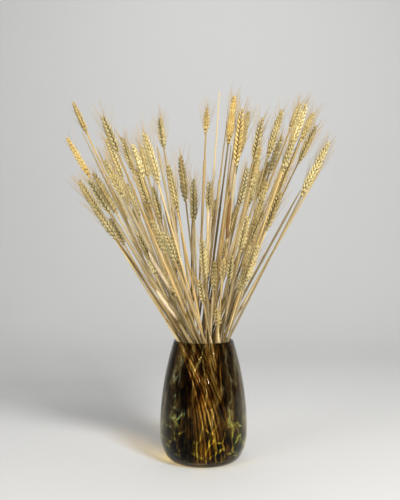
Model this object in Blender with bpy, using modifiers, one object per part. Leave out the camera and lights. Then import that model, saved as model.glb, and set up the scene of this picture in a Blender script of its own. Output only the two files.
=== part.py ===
"""Dried wheat in a glass vase: bearded ears on long straws that stand in the vase and fan out above it.

Metres, +Z up. The origin is the middle of the vase's flat base, and the sheaf is seen from -Y.
"""

import math
import random

import bmesh
import bpy
import numpy as np
from mathutils import Vector

# Vase
VASE_HEIGHT = 0.220
RIM_RADIUS = 0.055
BELLY_RADIUS = 0.0805
BELLY_HEIGHT = 0.055
BASE_RADIUS = 0.054
WALL = 0.004
FLOOR = 0.008
FLOOR_RADIUS = 0.060
VASE_SIDES = 36

# Sheaf: every straw follows one family of curves from its foot on the vase's floor
GAP = 0.0003
FOOT_HEIGHT = FLOOR + GAP
SHEAF_HEIGHT = 0.60
RIM_SHARE = (VASE_HEIGHT - FOOT_HEIGHT) / SHEAF_HEIGHT
RIM_SPREAD = 1.24
SPREAD = 6.6
DEPTH_SHARE = 0.95
TWIST = math.radians(-135)
LEAN_LOSS = 0.86
DEEPEST = 0.17
FOOT_REACH = 0.0575

# Straws and ears
STRAW_ROOM = 0.0016
EAR_ROOM = 0.0062
STRAW_LOW = 0.00130
STRAW_HIGH = 0.00085
SHEATH = 0.00140
JOINT = 0.00155
CORE_WIDE = 0.0032
CORE_THICK = 0.0026
ROW = 0.0066
KERNEL_OUT = 0.0029
KERNEL_UP = 0.0046
FULL_EAR = 0.085
AWN_HALF = 0.00036
AWNS = 4
LEAF_HALF = 0.0042
LEAF_THICK = 0.0004

# Viewpoint that the heights and sideways places of the ears are read from
EYE_DISTANCE = 1.26
EYE_HEIGHT = 0.386
CM = 0.01

# Ear tips in centimetres: sideways, height, length of the ear. A length of 0 is a straw that lost its ear.
LEFT_FAN = (
    (-24.2, 66.2, 8.4), (-25.5, 59.7, 8.7), (-23.2, 51.6, 9.5), (-18.9, 63.5, 6.8), (-18.1, 59.5, 8.6),
    (-18.6, 55.4, 7.0), (-15.1, 59.7, 8.5), (-13.3, 58.4, 6.2), (-12.3, 54.0, 6.5), (-11.2, 60.5, 9.0),
    (-8.1, 63.2, 7.3), (-6.6, 54.5, 8.4), (-9.5, 50.6, 7.3), (-21.5, 51.9, 7.2), (-20.6, 53.1, 8.4),
    (-16.0, 48.4, 6.0), (-10.7, 47.9, 7.1), (-17.4, 44.6, 6.3),
)
MIDDLE = (
    (-4.3, 56.3, 8.5), (-1.9, 51.9, 8.1), (0.7, 64.8, 5.9), (1.1, 51.5, 6.1), (2.4, 48.2, 6.1),
    (5.8, 67.3, 10.5), (7.1, 65.1, 9.8), (8.4, 64.4, 10.4), (10.9, 63.4, 8.0), (8.3, 54.0, 8.3),
    (-5.8, 46.6, 7.0),
)
RIGHT_FAN = (
    (18.1, 66.0, 6.9), (19.1, 65.8, 9.0), (20.4, 64.1, 6.6), (21.0, 61.8, 9.2), (23.3, 58.9, 10.5),
    (14.6, 64.8, 9.4), (16.7, 59.5, 6.0), (16.0, 55.3, 8.5), (15.6, 54.5, 9.5), (12.1, 55.1, 8.2),
    (10.5, 53.5, 9.0), (11.8, 51.4, 9.0),
)
LOW_FRONT = (
    (-7.5, 42.1, 5.8), (-10.9, 38.7, 5.5), (-0.3, 40.7, 8.2), (2.1, 36.7, 5.7), (5.2, 37.8, 5.7),
    (8.6, 39.4, 4.5), (10.0, 39.8, 8.2), (3.6, 37.1, 4.0), (-0.9, 33.2, 4.9), (-7.4, 34.6, 6.0),
    (-10.2, 34.0, 4.0), (2.5, 27.8, 4.4), (6.4, 28.6, 3.6), (7.8, 35.3, 5.2),
)
BARE = ((22.4, 54.9, 0), (-22.5, 60.6, 0), (-4.5, 33.0, 0), (6.0, 58.0, 0))

# Leaf blades in centimetres: sideways and height of the joint they grow from, and the blade's length
LEAVES = ((-4.0, 31.0, 9.0), (2.8, 39.5, 8.5), (4.2, 49.0, 7.0), (-6.5, 26.0, 7.0))


def clear_file():
    for thing in list(bpy.data.objects):
        bpy.data.objects.remove(thing, do_unlink=True)


def material(name, colour, roughness, transmission=0.0):
    made = bpy.data.materials.new(name)
    made.use_nodes = True
    shader = made.node_tree.nodes["Principled BSDF"]
    shader.inputs["Base Color"].default_value = (*colour, 1)
    shader.inputs["Roughness"].default_value = roughness
    shader.inputs["Transmission Weight"].default_value = transmission
    return made


def add_object(name, mesh, surface, collection):
    made = bpy.data.objects.new(name, mesh)
    mesh.materials.append(surface)
    collection.objects.link(made)
    return made


# The vase

def outside(z):
    """Outer radius of the vase at height z."""
    if z >= BELLY_HEIGHT:
        rise = (z - BELLY_HEIGHT) / (VASE_HEIGHT - BELLY_HEIGHT)
        return BELLY_RADIUS - (BELLY_RADIUS - RIM_RADIUS) * rise**2
    drop = (BELLY_HEIGHT - z) / BELLY_HEIGHT
    return BASE_RADIUS + (BELLY_RADIUS - BASE_RADIUS) * math.sqrt(1 - drop**2)


def inside(z):
    """Inner radius of the vase at height z."""
    if z >= BELLY_HEIGHT:
        return outside(z) - WALL
    drop = (BELLY_HEIGHT - z) / (BELLY_HEIGHT - FLOOR)
    return FLOOR_RADIUS + (BELLY_RADIUS - WALL - FLOOR_RADIUS) * math.sqrt(max(0, 1 - drop**2))


def vase_profile():
    """Half section from the middle of the floor, up inside, over the rim, and down outside to the base."""
    points = [(0, FLOOR)]
    for i in range(5):
        turn = math.radians(18 * i)
        z = BELLY_HEIGHT - (BELLY_HEIGHT - FLOOR) * math.cos(turn)
        points.append((inside(z), z))
    shoulder = VASE_HEIGHT - WALL / 2
    for i in range(5):
        z = BELLY_HEIGHT + (shoulder - BELLY_HEIGHT) * i / 4
        points.append((inside(z), z))
    middle = outside(shoulder) - WALL / 2
    for i in range(1, 4):
        turn = math.pi * (1 - i / 4)
        points.append((middle + WALL / 2 * math.cos(turn), shoulder + WALL / 2 * math.sin(turn)))
    for i in range(5):
        z = shoulder - (shoulder - BELLY_HEIGHT) * i / 4
        points.append((outside(z), z))
    for i in range(1, 6):
        turn = math.radians(90 - 18 * i)
        z = BELLY_HEIGHT * (1 - math.cos(turn))
        points.append((outside(z), z))
    points.append((0, 0))
    return points


def add_vase(surface, collection):
    half = bmesh.new()
    corners = [half.verts.new((r, 0, z)) for r, z in vase_profile()]
    for a, b in zip(corners, corners[1:]):
        half.edges.new((a, b))
    mesh = bpy.data.meshes.new("vase")
    half.to_mesh(mesh)
    half.free()
    vase = add_object("vase", mesh, surface, collection)
    turned = vase.modifiers.new("Turned", "SCREW")
    turned.steps = VASE_SIDES
    turned.render_steps = VASE_SIDES
    turned.use_merge_vertices = True
    turned.merge_threshold = 0.0001
    turned.use_smooth_shade = True
    return vase


# The sheaf

def sheaf(share):
    """2 x 2 matrix that takes a foot on the floor to the straw's place at a share of the sheaf's height.

    Straws bend below the rim and are straight above it.
    """
    if share < RIM_SHARE:
        climb = share / RIM_SHARE
        out = RIM_SPREAD * climb + (SPREAD * RIM_SHARE - RIM_SPREAD) * (climb**2 - climb)
    else:
        out = RIM_SPREAD + SPREAD * (share - RIM_SHARE)
    c, s = math.cos(TWIST), math.sin(TWIST)
    return np.array((
        (1 - share + out * c, -out * s),
        (out * DEPTH_SHARE * s, 1 - share + out * DEPTH_SHARE * c),
    ))


SHARES = np.arange(0, 1.14, 0.0125)
HEIGHTS = FOOT_HEIGHT + SHARES * SHEAF_HEIGHT
SHEAF = np.array([sheaf(share) for share in SHARES])
INSIDE = np.array([inside(z) if z < VASE_HEIGHT + 0.004 else 1 for z in HEIGHTS])


def places(tip, low, high):
    """Every depth at which a straw can carry this ear where it is seen, and still stand inside the vase."""
    found = []
    for y in np.arange(low, high + 0.0001, 0.0035):
        nearer = 1 + y / EYE_DISTANCE
        x = tip[0] * CM * nearer
        z = EYE_HEIGHT + (tip[1] * CM - EYE_HEIGHT) * nearer
        top = (z - FOOT_HEIGHT) / SHEAF_HEIGHT
        foot = np.linalg.solve(sheaf(top), (x, y))
        base = top - tip[2] * CM * 0.9 / SHEAF_HEIGHT
        girth = np.where(SHARES > base - 0.01, EAR_ROOM if tip[2] else STRAW_ROOM, STRAW_ROOM)
        girth = np.where(SHARES > top + 0.01, -1, girth)
        path = SHEAF @ foot
        if math.hypot(*foot) < FOOT_REACH and (np.hypot(*path.T) + girth + 0.0009 < INSIDE - GAP).all():
            found.append({"foot": foot, "top": top, "girth": girth, "path": path})
    return found


def stand_straws():
    """Choose each straw's depth so that it keeps as much room as it can from all the others."""
    tips = [(tip, -DEEPEST, DEEPEST) for tip in LEFT_FAN + MIDDLE + RIGHT_FAN]
    tips += [(tip, -0.15, -0.01) for tip in LOW_FRONT]
    tips += [(tip, -0.15, 0.15) for tip in BARE]
    tips.sort(key=lambda row: -abs(row[0][0]))
    choices = [places(*row) for row in tips]
    chosen = [None] * len(tips)
    for _ in range(6):
        for i, options in enumerate(choices):
            others = [other for j, other in enumerate(chosen) if other and j != i]
            if not others:
                chosen[i] = options[len(options) // 2]
                continue
            paths = np.array([other["path"] for other in others])
            girths = np.array([other["girth"] for other in others])

            def room(option):
                apart = np.linalg.norm(paths - option["path"], axis=2) * LEAN_LOSS
                return (apart - girths - option["girth"]).min()

            chosen[i] = max(options, key=room)
    for straw, (tip, _, _) in zip(chosen, tips):
        straw["ear"] = tip[2] * CM
    chosen.sort(key=lambda straw: (straw["ear"] == 0, straw["path"][70][0]))
    return chosen


def centre(straw, share):
    x, y = sheaf(share) @ straw["foot"]
    return Vector((x, y, FOOT_HEIGHT + share * SHEAF_HEIGHT))


def frame(straw, share):
    """Middle of the straw, its direction, and the two directions across it after its own turn."""
    middle = centre(straw, share)
    along = (centre(straw, share + 0.01) - centre(straw, share - 0.01)).normalized()
    side = Vector((0, 1, 0)).cross(along).normalized()
    c, s = math.cos(straw["turn"]), math.sin(straw["turn"])
    deep = along.cross(side)
    return middle, along, side * c + deep * s, deep * c - side * s


# Room between the thin pieces

class Crowd:
    """Sample points of everything placed so far, as rows of x, y, z, radius and straw number."""

    def __init__(self, straws):
        self.rows = np.array([
            (*centre(straw, share), girth + (0.0008 if girth == EAR_ROOM else 0.0004), number)
            for number, straw in enumerate(straws)
            for share, girth in zip(SHARES, straw["girth"])
            if girth > 0
        ])

    def room(self, line, radius, owner, own_from=1.0):
        """Least gap between a line of points and other straws, and the owner's parts of own_from or thicker."""
        line = np.array(line)
        near = (self.rows[:, :3] > line.min(0) - 0.03).all(1) & (self.rows[:, :3] < line.max(0) + 0.03).all(1)
        rows = self.rows[near & ((self.rows[:, 4] != owner) | (self.rows[:, 3] > own_from))]
        if not len(rows):
            return 0.02
        apart = np.linalg.norm(rows[None, :, :3] - line[:, None], axis=2)
        return (apart - rows[:, 3]).min() - radius

    def add(self, line, radius, owner):
        self.rows = np.vstack([self.rows] + [(*point, radius, owner) for point in line])


def between(a, b, step=0.004):
    count = max(2, math.ceil((b - a).length / step))
    return [a.lerp(b, i / count) for i in range(count + 1)]


# Bodies that grow by extruding their end face

def section(middle, across, deep, wide, thick):
    """Four corners of a cross section, keyed by their side."""
    return {(i, j): middle + across * (i * wide) + deep * (j * thick) for i in (-1, 1) for j in (-1, 1)}


def start(bm, low, high):
    """A block between two sections, and its end face."""
    block = bmesh.ops.create_cube(bm, size=2)["verts"]
    for corner in block:
        place = (round(corner.co.x), round(corner.co.y))
        corner.co = (low if corner.co.z < 0 else high)[place]
    top = [f for f in bm.faces if all(v.co in list(high.values()) for v in f.verts)]
    return top[0]


def pull(bm, end):
    """Extrude the end face in place, so that only the new end is left to be moved."""
    made = bmesh.ops.extrude_face_region(bm, geom=[end])["geom"]
    bmesh.ops.delete(bm, geom=[end], context="FACES_ONLY")
    return next(item for item in made if isinstance(item, bmesh.types.BMFace))


def extend(bm, end, old, new):
    """Extrude the end face from its old section to a new one."""
    end = pull(bm, end)
    for corner in end.verts:
        side = min(old, key=lambda key: (old[key] - corner.co).length)
        corner.co = new[side]
    return end


def sides(end):
    """The four faces that the last extrusion made."""
    return [next(f for f in edge.link_faces if f is not end) for edge in end.edges]


def ear_shape(s, length):
    """Share of full width at share s of the ear: a quick swell, then a slow taper. Short ears are slimmer."""
    plump = 1 + 0.35 * (length - FULL_EAR) / FULL_EAR
    swell = min(1, 0.45 + s / 0.16 * 0.55)
    taper = 1 if s < 0.5 else 1 - 0.55 * ((s - 0.5) / 0.5) ** 1.6
    return plump * swell * taper


def kernel(bm, face, out, along, size):
    """Raise one grain's husk from a cell of the ear: it leans out and up over the cell above."""
    tip = bmesh.ops.poke(bm, faces=[face])["verts"][0]
    tip.co += out * (KERNEL_OUT * size) + along * (KERNEL_UP * size)


def bearded_kernel(bm, face, out, along, size, tip):
    """A husk that runs out into one of the ear's long awns."""
    seat = face.calc_center_median() + out * (KERNEL_OUT * size) + along * (KERNEL_UP * size)
    bmesh.ops.inset_individual(bm, faces=[face], thickness=0.0008)
    shift = tip - seat
    direction = shift.normalized()
    middle = face.calc_center_median()
    for corner in face.verts:
        arm = corner.co - middle
        arm -= direction * arm.dot(direction)
        corner.co = seat + arm.normalized() * (AWN_HALF * math.sqrt(2))
    point = bmesh.ops.poke(bm, faces=[face])["verts"][0]
    point.co = tip


def awn_tip(straw, number, seat, out, along, rng, crowd):
    """A free line for an awn: past the ear's tip and spread a little, clear of the neighbours."""
    for attempt in range(24):
        length = rng.uniform(0.044, 0.064) * (1 - attempt * 0.022)
        lean = math.radians(rng.uniform(7, 20))
        swing = along.cross(out) * math.tan(math.radians(rng.uniform(-14, 14)))
        way = (along * math.cos(lean) + out * math.sin(lean) + swing).normalized()
        tip = seat + way * length
        line = between(seat, tip)
        if min(crowd.room(line, 0.0012, number), crowd.room(line[3:], 0.0002, number, own_from=0.004)) > 0:
            crowd.add(line, 0.0006, -1)
            return tip
    return None


def add_ear(bm, end, straw, number, old, base, rng, crowd):
    """Rows of husks up the ear, facing across and deep in turn, closed by a top husk."""
    top = straw["top"]
    rows = max(5, round(straw["ear"] / ROW))
    awned = {rows - 1 - 2 * i for i in range(AWNS)} if rows > 7 else {rows - 1, rows - 2, rows - 3}
    for row in range(rows):
        s = (row + 1) / rows
        middle, along, across, deep = frame(straw, base + (top - base) * s)
        size = ear_shape(s, straw["ear"])
        new = section(middle, across, deep, CORE_WIDE * size, CORE_THICK * size)
        end = extend(bm, end, old, new)
        old = new
        given = False
        for face in sides(end):
            arm = face.calc_center_median() - middle
            arm -= along * arm.dot(along)
            wide = abs(arm.dot(across)) / CORE_WIDE > abs(arm.dot(deep)) / CORE_THICK
            if wide != bool(row % 2):
                continue
            out = arm.normalized()
            bulge = max(0.6, size)
            if row in awned and not given and (out.y < 0.5 or row % 3 == 0):
                seat = face.calc_center_median() + out * (KERNEL_OUT * bulge) + along * (KERNEL_UP * bulge)
                tip = awn_tip(straw, number, seat, out, along, rng, crowd)
                if tip:
                    bearded_kernel(bm, face, out, along, bulge, tip)
                    given = True
                    continue
            kernel(bm, face, out, along, bulge)
    tip = bmesh.ops.poke(bm, faces=[end])["verts"][0]
    tip.co += along * 0.005


def add_leaf(bm, faces, leaf):
    """Extrude the dried blade from the side of the joint that it leaves."""
    spine, out, half, along = leaf["spine"], leaf["out"], leaf["half"], leaf["along"]
    end = max(faces, key=lambda face: (face.calc_center_median() - spine[0]).dot(out))
    flat = along.cross(out).normalized()
    hub = end.calc_center_median()
    old = {}
    for corner in end.verts:
        arm = corner.co - hub
        old[(1 if arm.dot(flat) > 0 else -1, 1 if arm.dot(along) < 0 else -1)] = corner.co.copy()
    last = len(spine) - 1
    for k in range(1, last + 1):
        s = k / last
        across, outer = leaf_sides(spine, k, flat, out)
        new = section(spine[k], across, outer, half * leaf_shape(s), LEAF_THICK)
        end = extend(bm, end, old, new)
        old = new


def grow(name, straw, number, surface, collection, crowd):
    """One straw from its cut foot to the top of its ear, as a single body."""
    rng = random.Random(400 + number)
    top = straw["top"]
    base = top
    if straw["ear"]:
        while (centre(straw, top) - centre(straw, base)).length < straw["ear"]:
            base -= 0.002
    joint = straw["joint"]
    collar = min(base - 0.02, joint + straw["sheath"])
    stops = [(joint - 0.006, STRAW_LOW), (joint, JOINT), (joint + 0.007, SHEATH), (base, STRAW_HIGH)]
    if collar > joint + 0.05:
        stops += [(collar, SHEATH * 0.9), (collar + 0.008, STRAW_HIGH)]
    for share in (0.0, 0.09, 0.18, 0.27, 0.36):
        if all(abs(share - stop[0]) > 0.04 for stop in stops) and share < base:
            stops.append((share, STRAW_LOW if share < joint else SHEATH * 0.9 if share < collar else STRAW_HIGH))
    stops.sort()
    sections = []
    for share, half in stops:
        middle, along, across, deep = frame(straw, share)
        sections.append(section(middle, across, deep, half, half))
    for corner in sections[0].values():
        corner += frame(straw, 0)[1] * (FOOT_HEIGHT - corner.z)
        corner.z = FOOT_HEIGHT
    bm = bmesh.new()
    end = start(bm, sections[0], sections[1])
    leaf_faces = None
    for i in range(2, len(sections)):
        end = extend(bm, end, sections[i - 1], sections[i])
        if abs(stops[i][0] - joint - 0.007) < 1e-6 and straw["leaf"]:
            leaf_faces = sides(end)
    if straw["ear"]:
        add_ear(bm, end, straw, number, sections[-1], base, rng, crowd)
    if leaf_faces:
        add_leaf(bm, leaf_faces, straw["leaf"])
    bmesh.ops.recalc_face_normals(bm, faces=bm.faces)
    mesh = bpy.data.meshes.new(name)
    bm.to_mesh(mesh)
    bm.free()
    return add_object(name, mesh, surface, collection)


def leaf_shape(s):
    """Half width of a blade at share s of its length, as a share of its widest half."""
    return max((0.5 + 2.2 * s) * (1 - s) ** 0.55, 0.17)


def leaf_sides(spine, k, flat, out):
    """Directions across the blade and out of its face at its k-th point, with a slow twist."""
    way = (spine[min(k + 1, len(spine) - 1)] - spine[k - 1]).normalized()
    twist = 0.4 * k / (len(spine) - 1)
    across = (flat - way * flat.dot(way)).normalized()
    across = across * math.cos(twist) + way.cross(across) * math.sin(twist)
    outer = across.cross(way)
    return across, outer if outer.dot(out) > 0 else -outer


def choose_leaf(straw, length, crowd):
    """A clear line for a blade, from the side of its joint that faces the viewer most."""
    middle, along, across, deep = frame(straw, straw["joint"] + 0.004)
    lines = []
    for out in (across, deep, -across, -deep):
        for lean in (0.05, 0.12):
            spine = [middle + out * JOINT]
            for k in range(1, 7):
                s = k / 6
                rise = length * s * (1 - 0.15 * lean * s)
                away = 0.003 + length * lean * s * (0.45 + 0.75 * s)
                spine.append(middle + along * rise + out * away)
            line = spine[1:] + [a.lerp(b, 0.5) for a, b in zip(spine[1:], spine[2:])]
            gap = crowd.room(line, 0.0, straw["number"], own_from=0.004)
            lines.append((gap, spine, out))
    clear = [line for line in lines if line[0] > LEAF_HALF + 0.0006] or [max(lines, key=lambda line: line[0])]
    gap, spine, out = min(clear, key=lambda line: line[2].y)
    half = min(LEAF_HALF, gap - 0.0006)
    crowd.add(spine[1:], half, straw["number"])
    return {"spine": spine, "out": out, "half": half, "along": along}


def dress_straws(straws):
    """Give every straw its turn, its joint and sheath, and near the listed places a leaf."""
    for number, straw in enumerate(straws):
        rng = random.Random(90 + number)
        straw["number"] = number
        straw["turn"] = rng.uniform(0, math.pi)
        length = straw["top"] - straw["ear"] / SHEAF_HEIGHT
        straw["joint"] = length - rng.uniform(0.36, 0.50)
        if straw["joint"] < 0.41:
            straw["joint"] = rng.uniform(0.08, 0.26)
        straw["sheath"] = rng.uniform(0.16, 0.24)
        straw["leaf"] = None
    crowd = Crowd(straws)
    for x, z, length in LEAVES:
        share = (z * CM - FOOT_HEIGHT) / SHEAF_HEIGHT
        end = share + length * CM / SHEAF_HEIGHT
        fit = [s for s in straws if not s["leaf"] and s["top"] - s["ear"] / SHEAF_HEIGHT > end]
        nearest = min(fit, key=lambda s: abs(centre(s, share).x - x * CM) + 0.5 * (centre(s, share).y + 0.1))
        nearest["joint"] = share
        nearest["leaf"] = choose_leaf(nearest, length * CM, crowd)
    return crowd


clear_file()
arrangement = bpy.data.collections.new("wheat_in_vase")
bpy.context.scene.collection.children.link(arrangement)
glass = material("glass", (0.20, 0.17, 0.07), 0.08, 0.8)
wheat = material("straw", (0.72, 0.55, 0.26), 0.7)
add_vase(glass, arrangement)
standing = stand_straws()
crowd = dress_straws(standing)
eared = [straw for straw in standing if straw["ear"]]
for number, straw in enumerate(standing):
    name = f"wheat_{number + 1:02d}" if straw["ear"] else f"straw_{number + 1 - len(eared):02d}"
    grow(name, straw, number, wheat.copy(), arrangement, crowd)
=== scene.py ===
# %% [markdown]
# # A vase of dried wheat
#
# A fan of bearded wheat ears stands in a smoky, mottled glass vase. The solids give each stalk its place and
# size, and this lesson gives them their looks: husks and awns on the ears, round straws with joints and
# sheaths, dried leaf blades, and mottled glass in place of the plain solid one. It also stands some further
# stalks between those that have solids, because the real sheaf is denser than a part can hold.

# %% Load the solids
import itertools
import math
import random

import bmesh
import bpy
import numpy as np
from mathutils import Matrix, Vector


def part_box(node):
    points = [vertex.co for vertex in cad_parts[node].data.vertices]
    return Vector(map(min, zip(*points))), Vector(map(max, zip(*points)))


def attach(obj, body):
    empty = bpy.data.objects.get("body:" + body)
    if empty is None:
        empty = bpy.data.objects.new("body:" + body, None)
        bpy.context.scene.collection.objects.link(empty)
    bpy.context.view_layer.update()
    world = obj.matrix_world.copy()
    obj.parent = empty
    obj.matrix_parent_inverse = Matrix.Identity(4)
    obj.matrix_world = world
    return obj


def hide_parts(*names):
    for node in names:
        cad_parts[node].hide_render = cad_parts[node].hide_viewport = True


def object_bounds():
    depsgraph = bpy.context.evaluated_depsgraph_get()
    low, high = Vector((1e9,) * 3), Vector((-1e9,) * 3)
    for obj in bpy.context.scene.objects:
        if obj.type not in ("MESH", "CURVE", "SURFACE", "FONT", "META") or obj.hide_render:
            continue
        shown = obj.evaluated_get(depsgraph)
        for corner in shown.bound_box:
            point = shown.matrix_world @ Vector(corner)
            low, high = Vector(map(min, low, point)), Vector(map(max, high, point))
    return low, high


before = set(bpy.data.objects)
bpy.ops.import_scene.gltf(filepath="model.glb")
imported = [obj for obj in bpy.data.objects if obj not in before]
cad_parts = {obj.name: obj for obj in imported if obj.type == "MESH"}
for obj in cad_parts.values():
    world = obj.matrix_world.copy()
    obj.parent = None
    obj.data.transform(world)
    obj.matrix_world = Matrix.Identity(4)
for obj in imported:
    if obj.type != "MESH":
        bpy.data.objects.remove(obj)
cad_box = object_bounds()
MM = 0.001
CM = 0.01
print("solids:", len(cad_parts), "box:", [[round(c, 3) for c in corner] for corner in cad_box])

# %% [markdown]
# ## Camera
#
# A picture of a tall arrangement is usually taken level, so that the stalks don't lean together. The camera
# could be turned and tilted until the picture fits, but here it stands square to the sheaf at the height of
# its middle. Its distance and focal length then set how much larger the near ears look than the far ones.

# %% Camera
EYE_DISTANCE = 1.26
EYE_HEIGHT = 0.386
EYE_SIDE = -0.0065
FOCAL_PX = 680
PICTURE_HEIGHT_PX = 500
SENSOR_MM = 36

camera = bpy.data.objects.new("camera", bpy.data.cameras.new("camera"))
bpy.context.scene.collection.objects.link(camera)
bpy.context.scene.camera = camera
camera.location = (EYE_SIDE, -EYE_DISTANCE, EYE_HEIGHT)
camera.rotation_euler = (math.radians(90), 0, 0)
camera.data.sensor_fit = "VERTICAL"
camera.data.sensor_height = SENSOR_MM
camera.data.lens = SENSOR_MM * FOCAL_PX / PICTURE_HEIGHT_PX
print("lens:", round(camera.data.lens, 1), "mm")

# %% [markdown]
# ## Helpers
#
# Every piece below is an object at the origin with its place in its mesh, and every material is a small tree
# of nodes. Both could be written out each time. A few helpers keep that short, and say what each input of a
# node gets: another node's output, or a plain value.


# %% Helpers for objects and materials
def add_piece(name, mesh):
    """A new object at the origin that holds this mesh."""
    piece = bpy.data.objects.new(name, mesh)
    bpy.context.scene.collection.objects.link(piece)
    return piece


def new_material(name, **values):
    """A Principled material with these socket values, and its tree and shader."""
    made = bpy.data.materials.new(name)
    made.use_nodes = True
    shader = made.node_tree.nodes["Principled BSDF"]
    for socket, value in values.items():
        shader.inputs[socket.replace("_", " ")].default_value = value
    return made, made.node_tree, shader


def set_input(tree, socket, value):
    """Link the input to another node's output, or give it a plain value."""
    if isinstance(value, bpy.types.NodeSocket):
        tree.links.new(value, socket)
    else:
        socket.default_value = value


def add_node(tree, kind, settings=None, **inputs):
    """A node with these settings and inputs: i0, i1 and so on by place, others by name with _ for a space."""
    node = tree.nodes.new(kind)
    for key, value in (settings or {}).items():
        setattr(node, key, value)
    for key, value in inputs.items():
        by_place = key[0] == "i" and key[1:].isdigit()
        socket = node.inputs[int(key[1:]) if by_place else key.replace("_", " ")]
        set_input(tree, socket, value)
    return node


def blend(tree, share, a, b):
    """Colour a turned into b by this share."""
    node = add_node(tree, "ShaderNodeMix", {"data_type": "RGBA"})
    for place, value in ((0, share), (6, a), (7, b)):
        set_input(tree, node.inputs[place], value)
    return node.outputs[2]


def remap(tree, value, start, end, first, last, way="LINEAR"):
    """The value, with the range from start to end moved to first to last."""
    return add_node(
        tree, "ShaderNodeMapRange", {"interpolation_type": way},
        Value=value, From_Min=start, From_Max=end, To_Min=first, To_Max=last,
    ).outputs[0]


print("helpers ready, in Blender", bpy.app.version_string)

# %% [markdown]
# ## Floor and light
#
# Glass shows whatever stands behind it. A floor and a backdrop that meet in a line would draw that line
# through the vase, so they are one pale sheet with a wide bend, as in a studio. A grid bent by a formula is
# enough for it. One strong, warm lamp from the right and a weak one from the left model the ears, and a
# third evens out the backdrop. The first two would lie on the glass as large pale patches, so they are
# hidden from reflections, and four tiny lamps give the vase its small sharp sparks.


# %% Floor and backdrop
def studio_sheet():
    """A pale sheet that runs back over the floor and bends up into a backdrop."""
    bend_start, bend_radius, top = 1.3, 0.9, 3.2
    front, half_width = -3.0, 4
    bm = bmesh.new()
    bmesh.ops.create_grid(bm, x_segments=1, y_segments=40, size=1)
    arc = bend_radius * math.pi / 2
    whole = (bend_start - front) + arc + (top - bend_radius)
    for v in bm.verts:
        d = (v.co.y + 1) / 2 * whole
        if d < bend_start - front:
            y, z = front + d, 0
        elif d < bend_start - front + arc:
            turn = (d - bend_start + front) / bend_radius
            y, z = bend_start + bend_radius * math.sin(turn), bend_radius * (1 - math.cos(turn))
        else:
            y, z = bend_start + bend_radius, bend_radius + d - (bend_start - front + arc)
        v.co = (v.co.x * half_width, y, z)
    bmesh.ops.recalc_face_normals(bm, faces=bm.faces)
    mesh = bpy.data.meshes.new("studio_sheet")
    bm.to_mesh(mesh)
    bm.free()
    mesh.shade_smooth()
    return add_piece("studio_sheet", mesh)


sheet = studio_sheet()
paper, _, _ = new_material("paper", Base_Color=(0.65, 0.66, 0.67, 1), Roughness=0.9)
sheet.data.materials.append(paper)
print("sheet faces:", len(sheet.data.polygons))


# %% Lamps and soft room light
WHITE = (1, 1, 1)
SPARK_PLACES = ((1.10, -1.55, 0.88), (1.06, -1.55, 0.72), (-0.35, -1.6, 0.45), (0.38, -1.6, 0.44))
SPARK_AIM = (0, 0, 0.17)
ROOM_COLOUR = (0.90, 0.88, 0.85, 1)
ROOM_STRENGTH = 0.22


def add_light(name, place, aim, size, watts, colour=WHITE):
    """A round lamp of this size that faces its aim."""
    lamp = bpy.data.objects.new(name, bpy.data.lights.new(name, "AREA"))
    bpy.context.scene.collection.objects.link(lamp)
    lamp.location = place
    lamp.rotation_euler = (Vector(aim) - Vector(place)).to_track_quat("-Z", "Y").to_euler()
    lamp.data.shape = "DISK"
    lamp.data.size = size
    lamp.data.energy = watts
    lamp.data.color = colour
    return lamp


key = add_light("key", (1.2, -1.9, 1.9), (0, 0, 0.4), 0.7, 87, (1, 0.97, 0.92))
fill = add_light("fill", (-1.7, -1.5, 1.1), (0, 0, 0.35), 1.2, 16, (1, 0.98, 0.94))
add_light("wall_wash", (0.0, 0.5, 2.2), (0, 1.8, 0.3), 1.4, 10)
for broad in (key, fill):
    broad.visible_glossy = False
for i, place in enumerate(SPARK_PLACES):
    add_light(f"spark_{i}", place, SPARK_AIM, 0.06, 1.6)
world = bpy.data.worlds.new("soft_room")
world.use_nodes = True
background = world.node_tree.nodes["Background"]
background.inputs["Color"].default_value = ROOM_COLOUR
background.inputs["Strength"].default_value = ROOM_STRENGTH
bpy.context.scene.world = world
bpy.context.scene.view_settings.view_transform = "Standard"
print("lamps:", len(bpy.data.lights))

# %% [markdown]
# ## The sheaf
#
# Straws in a vase lean on its rim and on each other, cross there, and spread both above and below it. Each
# could be placed by hand, but a hundred of them would soon cut through each other. So one family of curves
# carries them all: a foot on the floor is taken up by a matrix that turns and stretches with height. Lines of
# one family never meet, and only the thickness round them needs room. The solids stand by the same rule, so
# the same numbers are used here.

# %% Sizes of the vase and the sheaf
VASE_HEIGHT = 0.220
RIM_RADIUS = 0.055
BELLY_RADIUS = 0.0805
BELLY_HEIGHT = 0.055
BASE_RADIUS = 0.054
WALL = 0.004
FLOOR = 0.008
FLOOR_RADIUS = 0.060
GAP = 0.0003
FOOT_HEIGHT = FLOOR + GAP
SHEAF_HEIGHT = 0.60
RIM_SHARE = (VASE_HEIGHT - FOOT_HEIGHT) / SHEAF_HEIGHT
RIM_SPREAD = 1.24
SPREAD = 6.6
DEPTH_SHARE = 0.95
TWIST = math.radians(-135)
# Straws lean, so the gap between two of them is less than their distance level by level.
LEAN_LOSS = 0.86
DEEPEST = 0.17
DEPTH_STEP = 0.0035
FOOT_REACH = 0.0575
STRAW_ROOM = 0.0016
EAR_ROOM = 0.0062
GLASS_ROOM = 0.0009
JOINT = 0.00155
FULL_EAR = 0.085
LEAF_HALF = 0.0042
print("straws cross the rim at", round(RIM_SHARE, 3), "of the sheaf's height")

# %% [markdown]
# ## Where the ears are seen
#
# The picture gives each ear's tip and length, but not how far back it stands. So each ear is a row of three
# numbers: its place sideways, its height and its length, in centimetres as they look in the plane of the
# vase's axis. A length of 0 is a straw that lost its ear, and a leaf's row is for its joint. The first lists
# have solids. The stalks of MORE_EARS and MORE_STRAWS fill the sheaf between them.

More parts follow.
